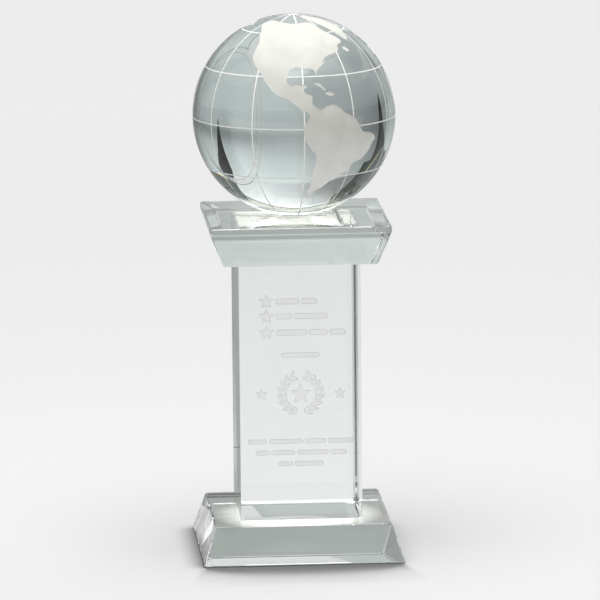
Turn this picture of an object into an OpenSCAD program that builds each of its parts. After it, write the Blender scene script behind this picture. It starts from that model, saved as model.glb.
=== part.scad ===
// Crystal column trophy: an etched glass globe on a capital slab, a square
// column and a bevelled base. Four glass blocks, held together by three thin
// films of clear ultraviolet-cured adhesive.
//
// Frame: millimetres, +Z up, origin at the centre of the base's underside,
// the column's engraved face towards -Y.

/* [Globe] */
// Diameter of the globe
globe_d = 80; // [60:1:100]
// Diameter of the flat ground on the globe's south side, where it is glued
globe_flat_d = 13; // [8:0.5:16]

/* [Capital] */
// Width of the capital at its top, which is square
capital_top_w = 71; // [66:0.5:80]
// Width of the capital at its underside
capital_bottom_w = 60.5; // [54:0.5:64]
// Height of the upright band round the capital's top
capital_band_h = 2.4; // [1:0.1:4]
// Height of the bevel below the band
capital_bevel_h = 13.4; // [10:0.1:16]

/* [Column] */
// Width of the column, which is square in plan
column_w = 48; // [40:0.5:52]
// Height of the column
column_h = 102.5; // [80:0.5:130]

/* [Base] */
// Width of the base at its top, which is square
base_top_w = 69.5; // [62:0.5:74]
// Width of the base where it rests
base_bottom_w = 79.5; // [76:0.5:90]
// Height of the base
base_h = 15; // [12:0.1:20]

/* [Finish] */
// Thickness of each adhesive film
film_t = 0.1; // [0.05:0.01:0.2]
// Width of the polished arris on the glass blocks' edges
arris_w = 0.4; // [0.2:0.05:0.8]
// How far each film stops short of the edge of the joint
film_inset = 0.5; // [0.3:0.1:1]

/* [Hidden] */

glass = [0.80, 0.86, 0.86, 0.55];
frosted_glass = [0.90, 0.92, 0.90, 0.80];
film_colour = [0.93, 0.91, 0.80, 0.60];

globe_r = globe_d / 2;
// Depth of the spherical cap that the flat takes off the globe
globe_flat_depth = globe_r - sqrt(pow(globe_r, 2) - pow(globe_flat_d / 2, 2));

// Heights of the joints, from the ground up
base_film_z = base_h;
column_z = base_film_z + film_t;
capital_film_z = column_z + column_h;
capital_z = capital_film_z + film_t;
capital_band_z = capital_z + capital_bevel_h;
capital_top_z = capital_band_z + capital_band_h;
globe_z = capital_top_z + film_t;
globe_centre_z = globe_z + globe_r - globe_flat_depth;

globe_facets = 128;
film_facets = 64;

// Outline of a block seen square on: each level is [width, z], from the bottom up
function side_view(levels) = concat(
    [for (level = levels) [level[0] / 2, level[1]]],
    [for (i = [len(levels) - 1 : -1 : 0]) [-levels[i][0] / 2, levels[i][1]]]
);

// The same levels seen along a diagonal, with the corners cut back by cut
function across_corners(levels, cut) = [
    for (level = levels) [sqrt(2) * (level[0] - cut), level[1]]
];

// Bar with the side view of the levels, lying square to the direction turn
module bar(levels, turn) {
    length = 2 * base_bottom_w;
    rotate([90, 0, turn])
        linear_extrude(height = length, center = true)
            polygon(side_view(levels));
}

// A flat-sided glass block that is square in plan at every level. Its upright
// edges are taken off to an arris of width cut.
module block(levels, cut) {
    corners = across_corners(levels, cut);
    intersection() {
        bar(levels, 0);
        bar(levels, 90);
        bar(corners, 45);
        bar(corners, 135);
    }
}

// Width of a bevelled side at a height fraction t of the way up it
function width_at(lower, upper, t) = lower + (upper - lower) * t;

// Bevelled foot of the trophy, widest where it rests
module base() {
    t = arris_w / base_h;
    color(glass)
        block([
            [base_bottom_w - arris_w, 0],
            [width_at(base_bottom_w, base_top_w, t), arris_w],
            [width_at(base_bottom_w, base_top_w, 1 - t), base_h - arris_w],
            [base_top_w - arris_w, base_h]
        ], arris_w);
}

// Square column that carries the engraving on its front face
module column() {
    color(glass)
        translate([0, 0, column_z])
            block([
                [column_w - arris_w, 0],
                [column_w, arris_w / 2],
                [column_w, column_h - arris_w / 2],
                [column_w - arris_w, column_h]
            ], arris_w);
}

// Slab under the globe: an inverted bevel below an upright band
module capital() {
    t = arris_w / capital_bevel_h;
    color(glass)
        block([
            [capital_bottom_w - arris_w, capital_z],
            [width_at(capital_bottom_w, capital_top_w, t), capital_z + arris_w],
            [width_at(capital_bottom_w, capital_top_w, 1 - t), capital_band_z - arris_w],
            [capital_top_w, capital_band_z + arris_w / 2],
            [capital_top_w, capital_top_z - arris_w / 2],
            [capital_top_w - arris_w, capital_top_z]
        ], arris_w);
}

// Globe with the small flat on which it is glued down
module globe() {
    color(frosted_glass)
        difference() {
            translate([0, 0, globe_centre_z])
                sphere(r = globe_r, $fn = globe_facets);
            translate([-globe_r, -globe_r, globe_z - globe_d])
                cube([globe_d, globe_d, globe_d]);
        }
}

// Square adhesive film under one end of the column
module square_film(z) {
    w = column_w - arris_w - 2 * film_inset;
    color(film_colour)
        translate([-w / 2, -w / 2, z])
            cube([w, w, film_t]);
}

module base_film() {
    square_film(base_film_z);
}

module capital_film() {
    square_film(capital_film_z);
}

// Round adhesive film under the globe's flat
module globe_film() {
    color(film_colour)
        translate([0, 0, capital_top_z])
            cylinder(d = globe_flat_d - film_inset, h = film_t, $fn = film_facets);
}

base();
base_film();
column();
capital_film();
capital();
globe_film();
globe();
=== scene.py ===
# The looks of the crystal column trophy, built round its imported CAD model.
# Metres, +Z up, the engraved face of the column towards -Y.
import math
import random

import bmesh
import bpy
import numpy as np
from mathutils import Matrix, Vector
from mathutils.geometry import delaunay_2d_cdt


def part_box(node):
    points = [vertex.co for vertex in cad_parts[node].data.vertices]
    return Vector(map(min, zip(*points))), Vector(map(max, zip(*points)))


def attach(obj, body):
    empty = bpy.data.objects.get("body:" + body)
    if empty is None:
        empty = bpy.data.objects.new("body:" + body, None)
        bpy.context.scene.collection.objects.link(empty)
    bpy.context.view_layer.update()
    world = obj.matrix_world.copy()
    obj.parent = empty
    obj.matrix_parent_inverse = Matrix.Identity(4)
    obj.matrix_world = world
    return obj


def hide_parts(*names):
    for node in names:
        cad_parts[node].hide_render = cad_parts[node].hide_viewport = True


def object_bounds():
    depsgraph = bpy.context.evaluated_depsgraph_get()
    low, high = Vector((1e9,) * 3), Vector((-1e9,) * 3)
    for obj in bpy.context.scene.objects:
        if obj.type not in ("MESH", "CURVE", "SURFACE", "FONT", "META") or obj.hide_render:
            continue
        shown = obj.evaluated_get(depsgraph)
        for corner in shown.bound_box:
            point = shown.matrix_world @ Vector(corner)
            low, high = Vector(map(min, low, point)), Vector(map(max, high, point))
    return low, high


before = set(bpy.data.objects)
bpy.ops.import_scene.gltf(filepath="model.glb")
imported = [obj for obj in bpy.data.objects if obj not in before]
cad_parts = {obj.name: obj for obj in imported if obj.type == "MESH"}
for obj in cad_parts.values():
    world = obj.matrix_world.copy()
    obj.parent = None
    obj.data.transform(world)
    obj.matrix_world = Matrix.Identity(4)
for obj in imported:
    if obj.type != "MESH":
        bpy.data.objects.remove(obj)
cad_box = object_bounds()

MM = 0.001

# Index of refraction of the blocks and everything etched, of the clear globe, and of the adhesive
BLOCK_INDEX = 1.52
GLOBE_INDEX = 1.55
ADHESIVE_INDEX = 1.5
# Depths of the sandblasted map and engraving, and of the thinner lines of longitude and latitude
ETCH_DEPTH = 0.2 * MM
LINE_DEPTH = 0.08 * MM
# Width of the arris round the ends of each block
ARRIS = 0.3 * MM
# Gap between the underside of the base and the floor
FLOOR_GAP = 0.3 * MM

# Material indices, the same on every glass piece
POLISHED, FROSTED, LINED, RIM, BONDED, SIDE = range(6)
DEPTHS = {POLISHED: 0, FROSTED: ETCH_DEPTH, LINED: LINE_DEPTH, RIM: ETCH_DEPTH / 2}


# ---------------------------------------------------------------- materials

def new_material(name):
    """An empty node material with its output node."""
    made = bpy.data.materials.new(name)
    made.use_nodes = True
    tree = made.node_tree
    tree.nodes.clear()
    return made, tree, tree.nodes.new("ShaderNodeOutputMaterial")


def add_node(tree, kind, **sockets):
    """A node with its input sockets set by name: a value is set, and an output socket is linked."""
    node = tree.nodes.new(kind)
    for name, value in sockets.items():
        socket = node.inputs[name.replace("_", " ")]
        if isinstance(value, bpy.types.NodeSocket):
            tree.links.new(value, socket)
        else:
            socket.default_value = value
    return node


def own_place(tree):
    """Where the shaded point lies in the piece's own coordinates."""
    return tree.nodes.new("ShaderNodeTexCoord").outputs["Object"]


def split_place(tree):
    """The same place as separate outputs X, Y and Z."""
    return add_node(tree, "ShaderNodeSeparateXYZ", Vector=own_place(tree)).outputs


def object_noise(tree, scale, detail=2.0, stretch=(1, 1, 1)):
    """Noise fixed to the piece, with features about one over scale metres across."""
    mapped = add_node(tree, "ShaderNodeMapping", Vector=own_place(tree), Scale=stretch)
    noise = add_node(tree, "ShaderNodeTexNoise", Vector=mapped.outputs[0], Scale=scale, Detail=detail)
    return noise.outputs["Fac"]


def remap(tree, value, low, high, to_low, to_high):
    """A value's range from low to high, spread over to_low to to_high: numbers or output sockets."""
    node = add_node(tree, "ShaderNodeMapRange", Value=value, From_Min=low, From_Max=high, To_Min=to_low,
                    To_Max=to_high)
    return node.outputs["Result"]


def combined(tree, operation, first, second):
    """Two values put together by a Math node."""
    node = tree.nodes.new("ShaderNodeMath")
    node.operation = operation
    tree.links.new(first, node.inputs[0])
    tree.links.new(second, node.inputs[1])
    return node.outputs[0]


def blended_colour(tree, value, first, second):
    """A colour between two, by value."""
    ramp = tree.nodes.new("ShaderNodeValToRGB")
    tree.links.new(value, ramp.inputs["Fac"])
    ramp.color_ramp.elements[0].color = (*first, 1)
    ramp.color_ramp.elements[1].color = (*second, 1)
    return ramp.outputs["Color"]


def bumped(tree, height, distance, strength=1.0):
    """Normals shaped by a height field, distance metres deep."""
    node = add_node(tree, "ShaderNodeBump", Height=height, Strength=strength, Distance=distance)
    return node.outputs["Normal"]


def polished_crystal(name, dim, bright, index):
    """Polished optical glass with faint smudges and the slight waviness of hand polishing."""
    made, tree, out = new_material(name)
    smudges = remap(tree, object_noise(tree, 70, 4), 0.55, 0.8, 0.0, 0.04)
    waves = bumped(tree, object_noise(tree, 45, 1), 0.001 * MM)
    colour = blended_colour(tree, object_noise(tree, 30, 3), dim, bright)
    shader = add_node(tree, "ShaderNodeBsdfPrincipled", Base_Color=colour, Roughness=smudges, IOR=index,
                      Transmission_Weight=1.0, Normal=waves)
    tree.links.new(shader.outputs[0], out.inputs["Surface"])
    return made


def grey_shaded_crystal(name):
    """The sides of the column: honed rather than polished, with fine vertical marks, and tinted grey as
    painted shade, so a little of the light stops at them."""
    made, tree, out = new_material(name)
    marks = object_noise(tree, 2500, 3, (1, 1, 0.04))
    # Painted shade: the grey colour darkens the column's sides
    colour = blended_colour(tree, marks, (0.5, 0.53, 0.51), (0.58, 0.61, 0.59))
    rough = remap(tree, marks, 0.3, 0.7, 0.02, 0.05)
    clear = remap(tree, marks, 0.35, 0.65, 0.73, 0.8)
    shader = add_node(tree, "ShaderNodeBsdfPrincipled", Base_Color=colour, Roughness=rough, IOR=BLOCK_INDEX,
                      Transmission_Weight=clear, Normal=bumped(tree, marks, 0.001 * MM))
    tree.links.new(shader.outputs[0], out.inputs["Surface"])
    return made


def frosted_crystal(name, dim, bright, roughness, clarity, behind=1):
    """Sandblasted glass: a fine white grain that scatters the light going through it. Its colour is paler
    towards the south of the globe, which is painted light from below. Clarity is the share of light that
    still goes through, at the front and at the back. The roughness is multiplied by behind at the back."""
    made, tree, out = new_material(name)
    grain = object_noise(tree, 3200, 3)
    cloud = remap(tree, object_noise(tree, 140, 3), 0.35, 0.65, -0.08, 0.08)
    place = split_place(tree)
    front_to_back = (-5 * MM, 25 * MM)
    # Painted light: the colour turns paler from about the middle of the globe downwards, as if lit from
    # below
    painted_light_below = remap(tree, place["Z"], 174 * MM, 150 * MM, 0.08, 0.92)
    colour = blended_colour(tree, combined(tree, "ADD", painted_light_below, cloud), dim, bright)
    rough = remap(tree, grain, 0.3, 0.7, roughness - 0.1, roughness + 0.1)
    rough = combined(tree, "MULTIPLY", rough, remap(tree, place["Y"], *front_to_back, 1, behind))
    clear = remap(tree, place["Y"], *front_to_back, *clarity)
    shader = add_node(tree, "ShaderNodeBsdfPrincipled", Base_Color=colour, Roughness=rough, IOR=BLOCK_INDEX,
                      Transmission_Weight=clear, Normal=bumped(tree, grain, 0.05 * MM, 0.6))
    tree.links.new(shader.outputs[0], out.inputs["Surface"])
    return made


def bonded_face():
    """Glass under cured adhesive: light goes straight through from one block to the next."""
    made, tree, out = new_material("bonded_face")
    shader = add_node(tree, "ShaderNodeBsdfTransparent", Color=(0.995, 0.995, 0.99, 1))
    tree.links.new(shader.outputs[0], out.inputs["Surface"])
    return made


def adhesive_edge():
    """The narrow edge of a cured adhesive film, with small ripples."""
    made, tree, out = new_material("adhesive_edge")
    ripples = object_noise(tree, 900, 2)
    colour = blended_colour(tree, ripples, (0.93, 0.93, 0.9), (0.98, 0.98, 0.96))
    rough = remap(tree, ripples, 0.3, 0.7, 0.1, 0.3)
    shader = add_node(tree, "ShaderNodeBsdfPrincipled", Base_Color=colour, Roughness=rough,
                      IOR=ADHESIVE_INDEX, Transmission_Weight=0.9,
                      Normal=bumped(tree, ripples, 0.02 * MM))
    tree.links.new(shader.outputs[0], out.inputs["Surface"])
    return made


def paper_floor():
    """Matt pale paper with a painted contact shadow: darker close round anything that stands on it, most of
    all in front of it and to its left. The painted shadow comes from ambient occlusion, with limits that
    change from place to place, and the open paper is painted a little darker towards the front."""
    made, tree, out = new_material("paper_floor")
    colour = blended_colour(tree, object_noise(tree, 300, 4), (0.7, 0.7, 0.702), (0.71, 0.71, 0.712))
    place = split_place(tree)
    # Depth is the place from front to back, and counts as further back beside the base's corners
    across = combined(tree, "MULTIPLY", place["X"], place["X"])
    aside = remap(tree, across, (38 * MM) ** 2, (48 * MM) ** 2, 0, 40 * MM)
    depth = combined(tree, "ADD", place["Y"], aside)
    front = (-28 * MM, -40 * MM)
    reach = remap(tree, depth, *front, 9 * MM, 40 * MM)
    # Painted contact shadow: the paper's colour darkens where ambient occlusion finds the trophy close by
    nearby = add_node(tree, "ShaderNodeAmbientOcclusion", Distance=reach)
    most_covered = remap(tree, depth, *front, 0.5, 0.86)
    least_covered = remap(tree, depth, *front, 1, 0.965)
    beside = remap(tree, place["X"], 30 * MM, -30 * MM, 0.75, 0.1)
    darkest = remap(tree, depth, *front, beside, 0.27)
    # Painted shade: the open paper is a little darker towards the front, evening out the softbox's pool of
    # light
    open_floor = remap(tree, place["Y"], -0.1, 1.2, 0.92, 1)
    shade = remap(tree, nearby.outputs["AO"], most_covered, least_covered, darkest, open_floor)
    shaded = add_node(tree, "ShaderNodeVectorMath")
    shaded.operation = "SCALE"
    tree.links.new(colour, shaded.inputs[0])
    tree.links.new(shade, shaded.inputs["Scale"])
    shader = add_node(tree, "ShaderNodeBsdfDiffuse", Color=shaded.outputs[0], Roughness=0.5)
    tree.links.new(shader.outputs[0], out.inputs["Surface"])
    return made


engraving = frosted_crystal("engraving", (0.97, 0.985, 0.975), (0.98, 0.995, 0.985), 0.4, (0.6, 0.6))
# Painted shade: the rim round the engraving is frosted darker than the engraving itself
painted_shade_engraving_rim = frosted_crystal("painted_shade_engraving_rim", (0.7, 0.72, 0.7), (0.75, 0.77, 0.75), 0.5, (0.5, 0.5))
# The globe's frost: the bright end of its colour, below the middle of the globe, is painted light
frost = frosted_crystal("frosted_crystal", (0.6, 0.6, 0.55), (1, 1, 0.96), 0.7, (0.15, 0.6))
line_frost = frosted_crystal("etched_line", (0.96, 0.96, 0.93), (1, 1, 0.98), 0.45, (0.15, 0.95), 0.25)
rim_frost = frosted_crystal("frosted_rim", (0.97, 0.97, 0.95), (1, 1, 0.99), 0.6, (0.4, 0.9))
bonded = bonded_face()
BLOCK_GLASS = [polished_crystal("polished_crystal", (0.945, 0.985, 0.975), (0.97, 1, 0.99), BLOCK_INDEX),
               engraving, line_frost, painted_shade_engraving_rim, bonded, grey_shaded_crystal("side_painted_shade")]
GLOBE_GLASS = [polished_crystal("globe_crystal", (0.88, 0.955, 0.95), (0.91, 0.98, 0.975), GLOBE_INDEX),
               frost, line_frost, rim_frost, bonded]
ADHESIVE = [adhesive_edge(), bonded]
FILM_EDGE, FILM_FACE = range(2)


# ---------------------------------------------------------------- meshes

class Shell:
    """Gathers the faces of one closed mesh."""

    def __init__(self):
        self.points, self.faces, self.slots, self.rounded = [], [], [], []

    def add(self, corners, slot, rounded=False):
        """Adds one face of a material."""
        first = len(self.points)
        self.points.extend(corners)
        self.faces.append(range(first, first + len(corners)))
        self.slots.append(slot)
        self.rounded.append(rounded)

    def relief(self, points, triangles, kinds, place, rounded=False):
        """Lays triangles of these kinds on a surface, each at the depth of its kind, with a wall
        wherever the depth changes."""
        borders, levels = {}, {}
        for triangle, kind in zip(triangles, kinds):
            depth = DEPTHS[int(kind)]
            self.add([place(*points[i], depth) for i in triangle], int(kind), rounded)
            for a, b in zip(triangle, (*triangle[1:], triangle[0])):
                borders.setdefault((min(a, b), max(a, b)), []).append(depth)
                levels.setdefault(a, set()).add(depth)
        for ends, depths in borders.items():
            if len(set(depths)) == 2:
                # Every level met at an end is a corner of the wall, so that it closes with its neighbours
                shallow, deep = min(depths), max(depths)
                a, b = ([place(*points[i], depth) for depth in sorted(levels[i]) if shallow <= depth <= deep]
                        for i in ends)
                self.add([*a, *b[::-1]], RIM)

    def build(self, name, materials, centre=None):
        """Welds the faces into an object. Rounded faces take the normals of a ball about centre."""
        mesh = bpy.data.meshes.new(name)
        mesh.from_pydata(self.points, [], self.faces)
        mesh.polygons.foreach_set("material_index", self.slots)
        mesh.polygons.foreach_set("use_smooth", self.rounded)
        work = bmesh.new()
        work.from_mesh(mesh)
        bmesh.ops.remove_doubles(work, verts=work.verts, dist=0.001 * MM)
        bmesh.ops.recalc_face_normals(work, faces=work.faces)
        work.to_mesh(mesh)
        work.free()
        for material in materials:
            mesh.materials.append(material)
        if centre is not None:
            normals = [None] * len(mesh.loops)
            for face in mesh.polygons:
                for i in face.loop_indices:
                    out = mesh.vertices[mesh.loops[i].vertex_index].co - centre
                    normals[i] = out.normalized() if face.use_smooth else face.normal
            mesh.normals_split_custom_set(normals)
        made = bpy.data.objects.new(name, mesh)
        bpy.context.scene.collection.objects.link(made)
        return made


def inside(points, loop):
    """Which of the points lie inside a closed loop."""
    x, y = np.array(points).T
    found = np.zeros(len(x), bool)
    for (x1, y1), (x2, y2) in zip(loop, [*loop[1:], loop[0]]):
        if y1 != y2:
            found ^= ((y1 > y) != (y2 > y)) & (x < x1 + (y - y1) * (x2 - x1) / (y2 - y1))
    return found


def triangulate(outline, loops, extra=()):
    """Fills a convex outline with triangles whose edges follow every loop."""
    points, edges = [], []
    for loop in (outline, *loops):
        first, count = len(points), len(loop)
        points.extend(loop)
        edges.extend((first + i, first + (i + 1) % count) for i in range(count))
    points.extend(extra)
    found = delaunay_2d_cdt([Vector(p) for p in points], edges, [], 0, 1e-9)
    corners = [tuple(p) for p in found[0]]
    triangles = [tuple(t) for t in found[2]]
    middles = [tuple(np.mean([corners[i] for i in t], axis=0)) for t in triangles]
    return corners, triangles, middles


def covered(middles, loops):
    """Which of the middles lie inside any of the loops."""
    found = np.zeros(len(middles), bool)
    for loop in loops:
        found |= inside(middles, loop)
    return found


# ---------------------------------------------------------------- glass blocks

def block_rings(node):
    """The CAD block's levels: (height, half width, half length of the flat side) from the bottom up."""
    corners = np.array([v.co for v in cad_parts[node].data.vertices])
    rings = []
    for z in sorted(set(np.round(corners[:, 2], 6))):
        level = corners[np.abs(corners[:, 2] - z) < 0.01 * MM]
        half = level[:, 0].max()
        flat = level[level[:, 0] > half - 0.01 * MM][:, 1].max()
        rings.append((float(level[0, 2]), float(half), float(flat)))
    return rings


def with_arrises(rings):
    """The levels with a narrow arris round the bottom and the top."""
    (low_z, low_half, low_flat), (high_z, high_half, high_flat) = rings[0], rings[-1]
    below = [(low_z, low_half - ARRIS, low_flat - ARRIS), (low_z + ARRIS, low_half, low_flat)]
    above = [(high_z - ARRIS, high_half, high_flat), (high_z, high_half - ARRIS, high_flat - ARRIS)]
    return below + rings[1:-1] + above


def octagon(half, flat):
    """Outline of a block at one level: a square with its corners taken off."""
    return [(half, -flat), (half, flat), (flat, half), (-flat, half),
            (-half, flat), (-half, -flat), (-flat, -half), (flat, -half)]


# Sides of a block, counted from the first corner of its octagon
FRONT_SIDE, RIGHT_SIDE, LEFT_SIDE = 6, 0, 4


def block_shell(node, below=None, above=None, front=()):
    """A CAD block's shell. The outlines below and above are where adhesive joins its ends, and the front
    loops are engraved in the tallest part of its front."""
    rings = with_arrises(block_rings(node))
    shell = Shell()
    heights = [upper[0] - lower[0] for lower, upper in zip(rings, rings[1:])]
    tallest = heights.index(max(heights))
    for level, (lower, upper) in enumerate(zip(rings, rings[1:])):
        ends = [[(x, y, z) for x, y in octagon(half, flat)] for z, half, flat in (lower, upper)]
        for side in range(8):
            after = (side + 1) % 8
            quad = [ends[0][side], ends[0][after], ends[1][after], ends[1][side]]
            if front and side in (RIGHT_SIDE, LEFT_SIDE):
                shell.add(quad, SIDE)
            elif front and level == tallest and side == FRONT_SIDE:
                outline = [(x, z) for x, _, z in quad]
                edges = [grown(loop, ENGRAVED_EDGE) for loop in front]
                points, triangles, middles = triangulate(outline, [*front, *edges])
                face_y = -lower[1]
                kinds = np.where(covered(middles, edges), RIM, POLISHED)
                kinds[covered(middles, front)] = FROSTED
                shell.relief(points, triangles, kinds, lambda x, z, depth: (x, face_y + depth, z))
            else:
                shell.add(quad, POLISHED)
    for (z, half, flat), joint in ((rings[0], below), (rings[-1], above)):
        loops = [joint] if joint else []
        points, triangles, middles = triangulate(octagon(half, flat), loops)
        for triangle, joined in zip(triangles, covered(middles, loops)):
            shell.add([(*points[i], z) for i in triangle], BONDED if joined else POLISHED)
    return shell


# ---------------------------------------------------------------- adhesive films

def square_film(node, seed):
    """Outline of a square film whose edge wanders a little, with rounded corners, inside the CAD film."""
    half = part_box(node)[1].x
    steps, squareness = 120, 14
    rng = random.Random(seed)
    phases = [rng.uniform(0, 2 * math.pi) for _ in range(3)]
    outline = []
    for i in range(steps):
        angle = 2 * math.pi * i / steps
        c, s = math.cos(angle), math.sin(angle)
        reach = (abs(c) ** squareness + abs(s) ** squareness) ** (-1 / squareness)
        wander = sum(math.sin((5 + 4 * k) * angle + phase) for k, phase in enumerate(phases)) / 3
        radius = (half - (0.6 + 0.15 * wander) * MM) * reach
        outline.append((radius * c, radius * s))
    return outline


def round_film(node):
    """Outline of the round film under the globe."""
    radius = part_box(node)[1].x
    steps = 64
    return [(radius * math.cos(2 * math.pi * i / steps), radius * math.sin(2 * math.pi * i / steps))
            for i in range(steps)]


def film_piece(name, node, outline):
    """A film of that outline, as thick as its CAD solid, with bonded faces below and above."""
    low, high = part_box(node)[0].z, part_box(node)[1].z
    shell = Shell()
    for z in (low, high):
        shell.add([(x, y, z) for x, y in outline], FILM_FACE)
    for (x1, y1), (x2, y2) in zip(outline, [*outline[1:], outline[0]]):
        shell.add([(x1, y1, low), (x2, y2, low), (x2, y2, high), (x1, y1, high)], FILM_EDGE)
    return shell.build(name, ADHESIVE)


# ---------------------------------------------------------------- engraving

# Width of the shallower edge round everything engraved on the column
ENGRAVED_EDGE = 0.22 * MM


def grown(loop, amount):
    """The loop moved outwards by that amount, less at sharp tips."""
    points = np.array(loop)
    after = np.roll(points, -1, 0) - points
    area = np.sum(points[:, 0] * np.roll(points, -1, 0)[:, 1]
                  - points[:, 1] * np.roll(points, -1, 0)[:, 0])
    outward = np.column_stack((after[:, 1], -after[:, 0])) * np.sign(area)
    outward /= np.linalg.norm(outward, axis=1)[:, None]
    both = outward + np.roll(outward, 1, 0)
    length = np.maximum(np.linalg.norm(both, axis=1), 1)[:, None]
    return [tuple(p) for p in points + both / length * amount * 2 / length]


def turned(points, angle, x=0.0, y=0.0):
    """Points turned about the origin, then moved to x, y."""
    c, s = math.cos(angle), math.sin(angle)
    return [(x + u * c - v * s, y + u * s + v * c) for u, v in points]


def star(x, y, radius):
    """A five-pointed star."""
    tips = []
    for i in range(10):
        reach = radius * (1 if i % 2 == 0 else 0.42)
        angle = math.pi / 2 + math.pi * i / 5
        tips.append((x + reach * math.cos(angle), y + reach * math.sin(angle)))
    return tips


def bar(x, y, length, height):
    """A level bar with round ends, starting at x."""
    r = height / 2
    ends = [(x + length - r, -90), (x + r, 90)]
    turns = [(cx, math.radians(start + 20 * i)) for cx, start in ends for i in range(10)]
    return [(cx + r * math.cos(turn), y + r * math.sin(turn)) for cx, turn in turns]


def bar_row(x, y, lengths, height, gap):
    """Bars end to end along a line."""
    bars = []
    for length in lengths:
        bars.append(bar(x, y, length, height))
        x += length + gap
    return bars


def leaf(x, y, angle, length, width):
    """A pointed laurel leaf that starts at x, y and points along angle."""
    steps = 8
    edge = [(length * i / steps, width / 2 * math.sin(math.pi * (i / steps) ** 0.8))
            for i in range(steps + 1)]
    return turned(edge + [(u, -v) for u, v in edge[-2:0:-1]], angle, x, y)


def wreath(x, y, radius, leaf_length):
    """Two laurel branches that meet at the bottom and open at the top."""
    loops = []
    for side in (-1, 1):
        for i in range(8):
            around = math.radians(-78 + 19 * i)
            root = (side * radius * math.cos(around), radius * math.sin(around))
            for lean, share in ((0.55, 1), (-0.45, 0.85)):
                along = around + math.pi / 2 - lean
                along = along if side > 0 else math.pi - along
                loops.append(leaf(x + root[0], y + root[1], along, leaf_length * share, leaf_length * 0.36))
    return loops


def column_engraving():
    """Stars, a laurel wreath and rows of bars, in the plane of the column's front."""
    low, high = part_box("column")
    top = high.z
    row_y = [top - drop * MM for drop in (15, 21, 27.5)]
    loops = []
    for y, lengths in zip(row_y, ((9, 6), (6, 13), (12, 7, 6))):
        loops.append(star(-13.3 * MM, y, 2.9 * MM))
        loops += bar_row(-9.4 * MM, y, [n * MM for n in lengths], 1.9 * MM, 1.1 * MM)
    loops += bar_row(-7.2 * MM, top - 36.5 * MM, [14.5 * MM], 1.5 * MM, 0)
    emblem_y = top - 52 * MM
    loops += wreath(0, emblem_y, 7 * MM, 3.4 * MM)
    loops.append(star(0, emblem_y, 4 * MM))
    for side in (-1, 1):
        loops.append(star(side * 15.5 * MM, emblem_y, 2.2 * MM))
    for drop, lengths in ((71, (7, 13, 8, 10)), (75.5, (5, 9, 12, 6)), (80, (5, 11))):
        whole = sum(lengths) + 1.2 * (len(lengths) - 1)
        loops += bar_row(-whole / 2 * MM, top - drop * MM, [n * MM for n in lengths], 1.5 * MM, 1.2 * MM)
    return loops


# ---------------------------------------------------------------- globe

# The map starts and ends at this longitude, where it crosses no land but Antarctica
MAP_START = -169
# Longitude that faces the front of the trophy
MAP_FRONT = -92
# Degrees between the points that round the ball, and the latitude where the map stops
GRID_STEP = 2
MAP_TOP = 89
# Width of the lines, and the latitude where they run into the frosted dot at the pole
LINE_WIDTH = 0.5 * MM
POLAR_DOT = 87
# Latitude of the southern coast where the map starts and ends
COAST_SOUTH = -77

# Coasts, as whole degrees of longitude and latitude. Many points of the Americas are readings from
# the photo's artwork that a scratch script turned into degrees. The other coasts were typed from
# general knowledge of the world map.
NORTH_AMERICA = [
    (-143, 65), (-149, 69), (-151, 72), (-142, 75), (-128, 74), (-113, 73), (-101, 72), (-88, 72),
    (-76, 73), (-64, 72), (-60, 67), (-56, 62), (-51, 58), (-47, 54), (-48, 51), (-55, 49), (-57, 46),
    (-63, 44), (-68, 43), (-73, 41), (-74, 38), (-78, 35), (-80, 33), (-80, 30), (-81, 30), (-82, 33),
    (-85, 35), (-90, 35), (-94, 36), (-98, 34), (-100, 31), (-100, 27), (-97, 25), (-94, 26), (-90, 25),
    (-87, 25), (-90, 22), (-88, 20), (-85, 19), (-85, 15), (-84, 12), (-90, 10), (-94, 13), (-98, 16),
    (-102, 18), (-107, 20), (-110, 23), (-114, 27), (-117, 31), (-121, 34), (-125, 38), (-128, 42),
    (-129, 48), (-130, 54), (-134, 58), (-137, 62)]
SOUTH_AMERICA = [
    (-89, 11), (-87, 8), (-88, 5), (-90, 2), (-90, -4), (-88, -9), (-84, -14), (-83, -18), (-84, -25),
    (-85, -33), (-86, -39), (-88, -42), (-86, -46), (-82, -44), (-82, -41), (-79, -39), (-76, -37),
    (-73, -34), (-69, -32), (-65, -29), (-61, -27), (-58, -22), (-52, -20), (-48, -16), (-45, -11),
    (-43, -8), (-47, -5), (-54, -3), (-57, 2), (-61, 6), (-66, 9), (-71, 13), (-76, 13), (-80, 11),
    (-84, 13)]
AFRICA = [
    (-6, 36), (3, 37), (10, 37), (11, 33), (20, 31), (32, 31), (37, 21), (43, 12), (51, 12), (45, 2),
    (40, -5), (40, -15), (35, -20), (33, -27), (26, -34), (18, -34), (12, -18), (13, -8), (9, 0),
    (9, 4), (-2, 5), (-8, 4), (-13, 9), (-17, 15), (-16, 22), (-10, 30)]
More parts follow.
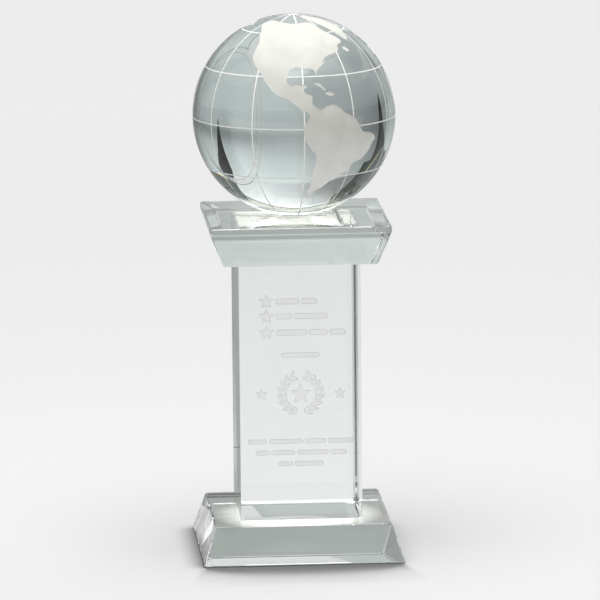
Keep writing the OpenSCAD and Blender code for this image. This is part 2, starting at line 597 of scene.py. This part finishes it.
EURASIA = [
    (-9, 37), (-9, 43), (-2, 43), (-1, 46), (-4, 48), (2, 51), (8, 54), (9, 57), (11, 54), (20, 55),
    (24, 59), (27, 60), (22, 61), (25, 65), (18, 62), (16, 56), (11, 59), (6, 58), (6, 62), (15, 69),
    (25, 71), (40, 67), (55, 68), (68, 69), (73, 73), (90, 76), (104, 78), (113, 74), (130, 71),
    (142, 73), (160, 70), (178, 69), (189, 66), (180, 64), (170, 60), (163, 58), (157, 51), (156, 57),
    (160, 61), (150, 59), (137, 54), (141, 52), (135, 44), (129, 41), (129, 36), (126, 35), (125, 39),
    (118, 38), (122, 37), (120, 34), (122, 30), (118, 24), (110, 21), (106, 19), (109, 13), (105, 9),
    (101, 13), (103, 2), (98, 9), (97, 16), (92, 22), (87, 21), (80, 15), (77, 8), (73, 17), (70, 21),
    (66, 25), (57, 26), (51, 29), (49, 30), (51, 25), (56, 25), (59, 22), (54, 17), (45, 13), (39, 21),
    (35, 28), (36, 36), (28, 37), (26, 40), (23, 40), (23, 37), (20, 40), (14, 45), (13, 43), (18, 40),
    (16, 38), (11, 43), (6, 43), (1, 41), (-2, 37)]
AUSTRALIA = [
    (114, -22), (122, -18), (126, -14), (131, -12), (136, -12), (140, -17), (142, -11), (146, -19),
    (153, -26), (150, -37), (144, -39), (138, -35), (131, -32), (124, -33), (118, -35), (115, -34)]
GREENLAND = [
    (-37, 52), (-43, 57), (-46, 62), (-51, 68), (-57, 75), (-66, 80), (-45, 84), (-25, 82), (-16, 74),
    (-19, 66), (-27, 59)]
ANTARCTIC_COAST = [
    (-150, -76), (-130, -74), (-100, -73), (-76, -73), (-60, -65), (-62, -73), (-42, -77), (-20, -73),
    (0, -70), (30, -69), (60, -67), (90, -66), (120, -66), (140, -67), (164, -71), (170, -76)]
ISLANDS = [
    [(-84, 26), (-80, 26), (-76, 22), (-78, 22), (-80, 24)],
    [(-77, 20), (-74, 21), (-71, 19), (-74, 18)],
    [(-52, 47), (-48, 48), (-46, 45), (-49, 44)],
    [(-24, 65), (-18, 67), (-14, 65), (-19, 63)],
    [(-5, 50), (1, 51), (0, 54), (-3, 59), (-6, 57), (-3, 54)],
    [(-10, 52), (-6, 52), (-6, 55), (-9, 54)],
    [(44, -25), (47, -25), (50, -15), (49, -12), (44, -17)],
    [(80, 6), (82, 7), (80, 10)],
    [(95, 6), (98, 4), (106, -5), (103, -5)],
    [(109, 1), (113, 3), (117, 7), (119, 5), (117, 0), (115, -4), (110, -3)],
    [(105, -6), (114, -7), (114, -9), (106, -8)],
    [(119, -5), (120, 1), (125, 1), (121, -1), (123, -5)],
    [(131, -1), (138, -2), (145, -5), (150, -10), (143, -9), (138, -8), (133, -4)],
    [(120, 18), (122, 18), (125, 10), (126, 6), (122, 7), (121, 13)],
    [(130, 32), (135, 33), (140, 35), (142, 40), (145, 43), (142, 45), (140, 41), (137, 37), (131, 34)],
    [(142, 47), (144, 50), (143, 54), (142, 50)],
    [(120, 23), (122, 25), (121, 22)],
    [(173, -35), (178, -38), (175, -41), (174, -38)],
    [(173, -41), (174, -42), (170, -46), (167, -46)],
    [(145, -41), (148, -41), (147, -44)],
    [(12, 79), (22, 80), (18, 77)],
    [(53, 71), (57, 71), (68, 77), (60, 76)],
]
INLAND_SEAS = [
    [(28, 42), (31, 46), (38, 46), (41, 42), (34, 42)],
    [(47, 44), (53, 46), (53, 37), (49, 38)],
]


def coast(points, rng, closed=True):
    """A coastline through the points: smooth bends with small headlands and bays."""
    count = len(points)
    line = []
    for i in range(count if closed else count - 1):
        near = [(i + k) % count if closed else min(max(i + k, 0), count - 1) for k in (-1, 0, 1, 2)]
        at = [points[k] for k in near]
        p0, p1, p2, p3 = (np.array(p, float) for p in at)
        length = float(np.linalg.norm(p2 - p1))
        steps = max(2, round(length / 1.2))
        for step in range(steps):
            t = step / steps
            cubic = t * (3 * (p1 - p2) + p3 - p0)
            bend = p1 + 0.5 * t * (p2 - p0 + t * (2 * p0 - 5 * p1 + 4 * p2 - p3 + cubic))
            stray = 0.28 if step else 0.1
            line.append((bend[0] + rng.uniform(-stray, stray), bend[1] + rng.uniform(-stray, stray)))
    return line


def meridian_strip(longitude, south, north, radius):
    """Outline of an engraved meridian of even width."""
    latitudes = np.linspace(south, north, round((north - south) / 3) + 1)
    half = [math.degrees(LINE_WIDTH / 2 / (radius * math.cos(math.radians(a)))) for a in latitudes]
    east = [(longitude + h, float(a)) for h, a in zip(half, latitudes)]
    west = [(longitude - h, float(a)) for h, a in zip(half, latitudes)]
    return east + west[::-1]


def parallel_strip(latitude, start, end, radius):
    """Outline of an engraved parallel."""
    longitudes = np.linspace(start, end, round((end - start) / 3) + 1)
    half = math.degrees(LINE_WIDTH / 2 / radius)
    low = [(float(a), latitude - half) for a in longitudes]
    high = [(float(a), latitude + half) for a in longitudes]
    return low + high[::-1]


def globe_shell(radius, centre, flat_radius, joint):
    """The ball, with its etched map of the world and the flat it is glued on."""
    south = -math.degrees(math.acos(flat_radius / radius))
    start, end = MAP_START, MAP_START + 360
    rng = random.Random(8)
    land = [coast(shape, rng) for shape in
            (NORTH_AMERICA, SOUTH_AMERICA, AFRICA, EURASIA, AUSTRALIA, GREENLAND, *ISLANDS)]
    first, last = (start, COAST_SOUTH), (end, COAST_SOUTH)
    shore = coast([first, *ANTARCTIC_COAST, last], rng, closed=False)
    land.append([first, *shore[1:], last, (end, south), (start, south)])
    seas = [coast(shape, rng) for shape in INLAND_SEAS]
    lines = [parallel_strip(a, start, end, radius) for a in (-60, -30, 0, 30, 60)]
    lines += [meridian_strip(a, -78, POLAR_DOT, radius) for a in range(-150, 181, 30)]
    lines.append([(start, POLAR_DOT), (end, POLAR_DOT), (end, MAP_TOP), (start, MAP_TOP)])
    outline = [(start, south), (end, south), (end, MAP_TOP), (start, MAP_TOP)]
    longitudes = np.arange(start, end + 0.1, GRID_STEP)
    latitudes = [south, *np.arange(-80, 88.1, GRID_STEP), MAP_TOP]
    grid = [(float(x), float(y)) for x in longitudes for y in latitudes]
    points, triangles, middles = triangulate(outline, land + seas + lines, grid)
    kinds = np.where(covered(middles, lines), LINED, POLISHED)
    kinds[covered(middles, land) & ~covered(middles, seas)] = FROSTED

    def place(longitude, latitude, depth):
        a, b = math.radians(longitude - MAP_FRONT - 90), math.radians(latitude)
        reach = radius - depth
        level = reach * math.cos(b)
        return (level * math.cos(a), level * math.sin(a), centre + reach * math.sin(b))

    # On the flat's own rim the surface isn't sunk, so that it closes with the flat
    def place_above_flat(longitude, latitude, depth):
        return place(longitude, latitude, 0 if latitude < south + 0.01 else depth)

    shell = Shell()
    shell.relief(points, triangles, kinds, place_above_flat, rounded=True)
    top = sorted(p for p in points if abs(p[1] - MAP_TOP) < 0.001)
    pole = (0, 0, centre + radius - LINE_DEPTH)
    for a, b in zip(top, top[1:]):
        shell.add([place(*a, LINE_DEPTH), place(*b, LINE_DEPTH), pole], LINED, True)
    rim = sorted(p for p in points if abs(p[1] - south) < 0.001)
    rim = [place(*p, 0) for p in rim[:-1]]
    loop = [(x, y) for x, y, _ in rim]
    flat_z = rim[0][2]
    corners, fill, fill_middles = triangulate(loop, [joint])
    for triangle, joined in zip(fill, covered(fill_middles, [joint])):
        shell.add([(*corners[i], flat_z) for i in triangle], BONDED if joined else POLISHED)
    return shell


# ---------------------------------------------------------------- the pieces

base_joint = square_film("base_film", 1)
capital_joint = square_film("capital_film", 2)
globe_joint = round_film("globe_film")

globe_low, globe_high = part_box("globe")
globe_radius = (globe_high.x - globe_low.x) / 2
globe_centre = globe_high.z - globe_radius
globe_flat = math.sqrt(globe_radius ** 2 - (globe_centre - globe_low.z) ** 2)

base = block_shell("base", above=base_joint)
column = block_shell("column", base_joint, capital_joint, column_engraving())
capital = block_shell("capital", capital_joint, globe_joint)
globe = globe_shell(globe_radius, globe_centre, globe_flat, globe_joint)
globe_middle = Vector((0, 0, globe_centre))

pieces = [
    (base.build("crystal_base", BLOCK_GLASS), "base", "clear_glass"),
    (column.build("engraved_column", BLOCK_GLASS), "column", "clear_glass"),
    (capital.build("crystal_capital", BLOCK_GLASS), "capital", "clear_glass"),
    (globe.build("etched_globe", GLOBE_GLASS, globe_middle), "globe", "etched_glass"),
    (film_piece("base_adhesive", "base_film", base_joint), "base_film", "adhesive"),
    (film_piece("capital_adhesive", "capital_film", capital_joint), "capital_film", "adhesive"),
    (film_piece("globe_adhesive", "globe_film", globe_joint), "globe_film", "adhesive"),
]
for piece, node, slot in pieces:
    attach(piece, "root")
    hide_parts(node)


# ---------------------------------------------------------------- stage

# Height from which the sky cards are laid out, close to the middle of the globe
SKY_CENTRE = 0.173
# Height of the level cards overhead
OVERHEAD = 0.873
# Direction of the dim corner of the studio, up behind the left of the trophy
DIM_CORNER = (-0.571, 0.731, 0.375)


def make_floor():
    """A wide disc of paper just under the trophy."""
    mesh = bpy.data.meshes.new("floor")
    reach = 40
    rim = [(reach * math.cos(math.radians(a)), reach * math.sin(math.radians(a)), -FLOOR_GAP)
           for a in range(0, 360, 10)]
    mesh.from_pydata(rim, [], [range(len(rim))])
    mesh.materials.append(paper_floor())
    floor = bpy.data.objects.new("floor", mesh)
    bpy.context.scene.collection.objects.link(floor)


def heading(azimuth, distance, height):
    """The point at a distance behind the trophy, its azimuth in degrees to the right."""
    angle = math.radians(azimuth)
    return (distance * math.sin(angle), distance * math.cos(angle), height)


def sky_point(azimuth, elevation, distance):
    """A point that far from the middle of the globe."""
    reach = distance * math.cos(math.radians(elevation))
    return heading(azimuth, reach, SKY_CENTRE + distance * math.sin(math.radians(elevation)))


def glowing(name, colour, radiance=1):
    """A material that only glows, with its tree and its emission node."""
    made, tree, out = new_material(name)
    glow = add_node(tree, "ShaderNodeEmission", Color=(*colour, 1), Strength=radiance)
    tree.links.new(glow.outputs[0], out.inputs["Surface"])
    return made, tree, glow


def studio_card(name, points, faces, material):
    """A card that only the glass sees: it is left out of the picture and throws no shadow."""
    mesh = bpy.data.meshes.new(name)
    mesh.from_pydata(points, [], faces)
    mesh.materials.append(material)
    card = bpy.data.objects.new(name, mesh)
    bpy.context.scene.collection.objects.link(card)
    card.visible_camera = card.visible_diffuse = card.visible_shadow = False
    return card


def distance_glow(tree, glow, near, far):
    """Radiance from near to far, each a distance from the middle of the trophy and a radiance."""
    length = tree.nodes.new("ShaderNodeVectorMath")
    length.operation = "LENGTH"
    tree.links.new(own_place(tree), length.inputs[0])
    strength = remap(tree, length.outputs["Value"], near[0], far[0], near[1], far[1])
    tree.links.new(strength, glow.inputs["Strength"])


def between(value, stops):
    """The level at a value, on straight lines from stop to stop."""
    return float(np.interp(value, *zip(*stops)))


def curved_card(name, colour, turns, rows):
    """A card bent round the trophy. Each row is a function of azimuth that gives a distance, a height
    and a radiance."""
    points, levels = [], []
    for row in rows:
        for turn in turns:
            distance, height, level = row(turn)
            points.append(heading(turn, distance, height))
            levels.append(level)
    steps = len(turns)
    faces = [(i, i + 1, steps + i + 1, steps + i)
             for i in range(steps * (len(rows) - 1)) if (i + 1) % steps]
    material, tree, glow = glowing(name, colour)
    level = tree.nodes.new("ShaderNodeAttribute")
    level.attribute_name = "radiance"
    tree.links.new(level.outputs["Fac"], glow.inputs["Strength"])
    card = studio_card(name, points, faces, material)
    card.data.attributes.new("radiance", "FLOAT", "POINT").data.foreach_set("value", levels)


SWEEP_DISTANCE = 1
# Azimuths of the corners of the bent cards
TURNS = range(-100, 101, 4)


def table_level(turn, distance):
    """Radiance of the table top: dimmer on the left, most of all far away."""
    level = between(distance, ((0.1, 0.54), (0.2, 0.68), (0.24, 0.64), (0.29, 0.54), (0.35, 0.57)))
    near = between(turn, ((-90, 0.3), (-76, 0.9), (-58, 1), (-52, 0.68), (-28, 0.64), (-7, 1), (28, 1),
                          (60, 1.1), (76, 0.3)))
    away = between(turn, ((-90, 0.3), (-76, 0.9), (-58, 1), (-52, 0.66), (-20, 0.66), (-3, 0.7), (6, 1),
                          (28, 1), (40, 0.9), (66, 0.9), (76, 0.3)))
    side = between(distance, ((0.3, near), (0.45, away)))
    far = between(distance, ((0.4, 0), (1, 0.4)))
    left = between(turn, ((-60, 0), (-56, 1), (-40, 1), (-16, 0)))
    return level * side * (1 - far * left)


def sweep_level(turn, height):
    """Radiance of the sweep behind the table, which rises with height and towards the right."""
    rise = between(height, ((0, 0.57), (0.12, 0.52), (0.17, 0.42), (0.21, 0.46), (0.29, 0.57),
                            (0.36, 0.68), (0.48, 0.78), (0.6, 0.9)))
    belt = between(height, ((0.12, 0), (0.17, 1), (0.21, 1), (0.29, 0)))
    belt *= between(turn, ((8, 0), (24, 0.25), (40, 0.35)))
    side = between(turn, ((-90, 0.3), (-76, 0.9), (-60, 1), (-54, 0.5), (-40, 0.38), (-28, 0.5),
                          (-16, 0.6), (-3, 0.72), (3, 0.9), (11, 0.9), (20, 0.96), (28, 1), (36, 0.8),
                          (66, 0.8), (76, 0.3)))
    return rise * side * (1 - belt)


def table_card():
    """The grey table top round the trophy. The picture itself shows paler paper."""
    height = 0.1 * MM
    # The inner edge stands further from the trophy on its left
    rows = [lambda turn: (0.056 if turn > -16 else 0.12, height, table_level(turn, 0.1))]
    for distance in (0.2, 0.24, 0.29, 0.35, 0.45, 0.6, 0.8, SWEEP_DISTANCE):
        rows.append(lambda turn, distance=distance: (distance, height, table_level(turn, distance)))
    curved_card("table_card", (0.95, 1, 0.99), TURNS, rows)


def sweep_card():
    """The grey sweep that rises behind the table."""
    rows = [lambda turn, height=height: (SWEEP_DISTANCE, height, sweep_level(turn, height))
            for height in (0, 0.06, 0.12, 0.17, 0.21, 0.29, 0.36, 0.48, 0.6)]
    curved_card("sweep_card", (0.95, 1, 0.99), TURNS, rows)


def upright_card(name, start, end, behind, low, high, material):
    """A flat upright card behind the trophy, from start to end across."""
    points = [(start, behind, low), (end, behind, low), (end, behind, high), (start, behind, high)]
    studio_card(name, points, [range(4)], material)


def column_card():
    """A white card standing close behind the column, which makes its engraved face clear, a bright
    strip at the card's foot, and a grey card behind the column's left side."""
    left, right, foot, low, high, behind = -0.022, 0.0228, 0.01505, 0.0163, 0.117, 0.0245
    material, tree, glow = glowing("column_card", (1, 0.995, 0.99))
    tree.links.new(remap(tree, split_place(tree)["Z"], low, high, 0.84, 0.76), glow.inputs["Strength"])
    upright_card("column_card", left, right, behind, low, high, material)
    upright_card("foot_card", left, right, behind, foot, low, glowing("foot_card", (1, 0.99, 0.95), 1.25)[0])
    grey = glowing("side_card", (0.38, 0.41, 0.39))[0]
    upright_card("side_card", -0.0275, -0.04, 0.06, 0.004, 0.115, grey)


def under_card():
    """A glowing card under the base, in place of white paper: a painted pool of light, brightest where the
    light that comes down the column falls.
    """
    side, height = 0.0362, -FLOOR_GAP / 2
    points = [(-side, -side, height), (side, -side, height), (side, side, height), (-side, side, height)]
    material, tree, glow = glowing("under_card", (1, 0.99, 0.94))
    # Painted pool of light: the glow is strongest under the column and weaker towards the card's edges
    distance_glow(tree, glow, (0.022, 1.9), (0.034, 0.5))
    studio_card("under_card", points, [range(4)], material)


def sky_card(name, distance, rows, colour, steps=2):
    """A card behind the trophy as the globe sees it. Each row is an elevation and two azimuths, in
    degrees."""
    points = [sky_point(a, elevation, distance) for elevation, start, end in rows
              for a in np.linspace(start, end, steps + 1)]
    faces = [(i, i + 1, i + steps + 2, i + steps + 1) for i in range(len(points) - steps - 1)
             if (i + 1) % (steps + 1)]
    studio_card(name, points, faces, glowing(name, colour)[0])


def flat_card(name, left, right, front, back, height, colour, fall=0):
    """A level card, or one whose back edge lies lower by fall."""
    points = [(left, front, height), (right, front, height),
              (right, back, height - fall), (left, back, height - fall)]
    studio_card(name, points, [range(4)], glowing(name, colour)[0])


def glints():
    """Coloured slivers that stand in for the dispersion of the crystal, which the renderer does not
    trace. The level ones are stacked by elevation, the slanted ones side by side."""
    edges = (26, 26.5, 26.9, 27.9, 28.3, 28.7, 29)
    colours = ((0.12, 0.16, 0.8), (0.3, 0.75, 1), (1.1, 1.1, 1.05), (1, 0.9, 0.3), (0.9, 0.45, 0.06),
               (0.35, 0.1, 0.03))
    for i, (low, high, colour) in enumerate(zip(edges, edges[1:], colours)):
        sky_card(f"level_glint_{i}", 0.92, ((low, 39.5, 66), (high, 39.5, 66)), colour)
    slant = ((0, (0.7, 0.12, 0.03)), (0.5, (0.8, 0.6, 0.08)), (1, (0.1, 0.6, 0.15)), (1.5, (0.1, 0.2, 0.7)))
    for i, (offset, colour) in enumerate(slant):
        rows = [(elevation, azimuth - offset - 0.5, azimuth - offset)
                for elevation, azimuth in ((13, -51), (16, -46), (21, -41.5), (25, -38))]
        sky_card(f"slant_glint_{i}", 0.62, rows, colour)


def make_cards():
    """Everything in the studio that only the glass sees."""
    table_card()
    sweep_card()
    column_card()
    under_card()
    black, dark = (0.004, 0.004, 0.004), (0.09, 0.1, 0.09)
    sky_card("flag_right", 0.95, ((-5.3, 40.6, 41), (0, 39.8, 41.8), (5.5, 39, 43), (10.5, 38.3, 44.3),
                                  (15.5, 37.6, 46.6), (20.5, 37.3, 49), (26, 39, 51)), black)
    sky_card("curtain_right", 0.95, ((29, 40, 81), (36, 41, 88), (41, 41, 91), (50, 45, 95)), dark)
    sky_card("flag_left", 0.64, ((-15.5, -43, -42.2), (-9, -44.5, -41), (0, -46.5, -41), (7, -50.5, -41),
                                 (13, -55, -40.5), (17, -58, -39)), black)
    sky_card("curtain_left", 0.66, ((17, -64, -33), (24, -68, -31), (31, -72, -26), (38, -74, -20),
                                    (50, -78, -24)), (0.03, 0.035, 0.025))
    flat_card("header", -0.6, 0.6, 0.35, 0.567, OVERHEAD, (0.82, 0.8, 0.71))
    flat_card("header_edge", -0.6, 0.6, 0.567, 0.6, OVERHEAD, black)
    flat_card("overhead_flag", -0.25, 0.3, -0.45, 0.13, OVERHEAD, (0.05, 0.05, 0.045))
    # Two grey flags behind the base, tilted along the view so that the column shows them edge on
    for side, left, right, grey in (("left", -0.045, 0.005, 0.16), ("right", 0.005, 0.045, 0.4)):
        flat_card("base_flag_" + side, left, right, 0.042, 0.058, 0.0315, (grey, grey, grey), 0.0028)
    sky_card("header_gap", 0.79, ((57.9, -70, 50), (60.3, -70, 50)), black, 20)
    glints()


def backdrop():
    """A pale wall far round the trophy, in the tone of the floor. It shows in the picture but not in
    the glass."""
    reach, low, high, count = 6, 0.06, 1, 72
    rim = [heading(360 * i / count, reach, low) for i in range(count)]
    points = rim + [(x, y, high) for x, y, _ in rim]
    faces = [(i, (i + 1) % count, (i + 1) % count + count, i + count) for i in range(count)]
    wall = studio_card("backdrop", points, faces, glowing("backdrop", (0.826, 0.83, 0.83))[0])
    wall.visible_camera = True
    wall.visible_transmission = wall.visible_glossy = False


def level_ramp(tree, level, stops):
    """Grey values by the height of the direction: (sine of the elevation, radiance)."""
    ramp = tree.nodes.new("ShaderNodeValToRGB")
    tree.links.new(level, ramp.inputs["Fac"])
    elements = ramp.color_ramp.elements
    elements[0].position, elements[1].position = stops[0][0], stops[-1][0]
    for position, _ in stops[1:-1]:
        elements.new(position)
    for element, (_, value) in zip(elements, stops):
        element.color = (value, value, value, 1)
    return ramp.outputs["Color"]


def make_world():
    """A soft studio: bright overhead and behind the trophy, dim in front and to the left."""
    world = bpy.data.worlds.new("studio")
    bpy.context.scene.world = world
    world.use_nodes = True
    tree = world.node_tree
    tree.nodes.clear()
    out = tree.nodes.new("ShaderNodeOutputWorld")
    direction = tree.nodes.new("ShaderNodeTexCoord").outputs["Generated"]
    split = add_node(tree, "ShaderNodeSeparateXYZ", Vector=direction)
    level = split.outputs["Z"]
    behind = level_ramp(tree, level, ((0, 0.46), (0.09, 0.53), (0.2, 0.6), (0.3, 0.68), (0.45, 0.82),
                                     (0.6, 0.94), (0.72, 1.2), (0.85, 2.6), (1, 4)))
    before = level_ramp(tree, level, ((0, 0.14), (0.3, 0.22), (0.6, 0.5), (0.85, 1.4), (1, 4)))
    back = remap(tree, split.outputs["Y"], 0.05, 0.45, 0, 1)
    mixed = tree.nodes.new("ShaderNodeMix")
    mixed.data_type = "RGBA"
    tree.links.new(back, mixed.inputs["Factor"])
    tree.links.new(before, mixed.inputs["A"])
    tree.links.new(behind, mixed.inputs["B"])
    lean = tree.nodes.new("ShaderNodeVectorMath")
    lean.operation = "DOT_PRODUCT"
    tree.links.new(direction, lean.inputs[0])
    lean.inputs[1].default_value = DIM_CORNER
    shade = level_ramp(tree, lean.outputs["Value"], ((0.6, 1), (0.78, 0.82), (0.93, 0.3)))
    background = add_node(tree, "ShaderNodeBackground", Color=mixed.outputs["Result"], Strength=shade)
    tree.links.new(background.outputs[0], out.inputs["Surface"])


def make_top_light():
    """A softbox above the globe, a little in front, aimed at the globe."""
    data = bpy.data.lights.new("top_softbox", "AREA")
    data.shape, data.size = "DISK", 0.34
    data.energy = 0.75
    light = bpy.data.objects.new("top_softbox", data)
    light.location = (-0.03, -0.1, 0.52)
    light.visible_transmission = False
    light.rotation_mode = "QUATERNION"
    light.rotation_quaternion = (light.location - Vector((0, 0, 0.17))).to_track_quat("Z", "Y")
    bpy.context.scene.collection.objects.link(light)


def make_camera():
    """The camera stands a little left of the front and looks down on the trophy with a long lens."""
    azimuth, elevation, roll = (math.radians(a) for a in (-3.92, 9.97, -0.55))
    distance = 2.784
    low, high = cad_box
    back = Vector((math.sin(azimuth) * math.cos(elevation), -math.cos(azimuth) * math.cos(elevation),
                   math.sin(elevation)))
    right = Vector((math.cos(azimuth), math.sin(azimuth), 0))
    up = back.cross(right)
    aim = (low + high) / 2 + 1.7 * MM * right + Vector((0, 0, -7.7 * MM))
    data = bpy.data.cameras.new("camera")
    data.lens, data.sensor_width = 421.7, 36
    data.clip_start, data.clip_end = 0.05, 200
    camera = bpy.data.objects.new("camera", data)
    bpy.context.scene.collection.objects.link(camera)
    across = right * math.cos(roll) + up * math.sin(roll)
    upward = up * math.cos(roll) - right * math.sin(roll)
    turn = Matrix((across, upward, back)).transposed()
    camera.matrix_world = Matrix.Translation(aim + back * distance) @ turn.to_4x4()
    bpy.context.scene.camera = camera


def set_rendering():
    """Enough bounces for light to cross every block several times, and plain colour output."""
    scene = bpy.context.scene
    scene.view_settings.view_transform = "Standard"
    cycles = scene.cycles
    cycles.max_bounces = 32
    cycles.transmission_bounces = 32
    cycles.glossy_bounces = 24
    cycles.diffuse_bounces = 4
    cycles.transparent_max_bounces = 64
    cycles.caustics_reflective = True
    cycles.caustics_refractive = True
    cycles.sample_clamp_indirect = 8
    cycles.use_denoising = True


make_floor()
make_cards()
backdrop()
make_world()
make_top_light()
make_camera()
set_rendering()
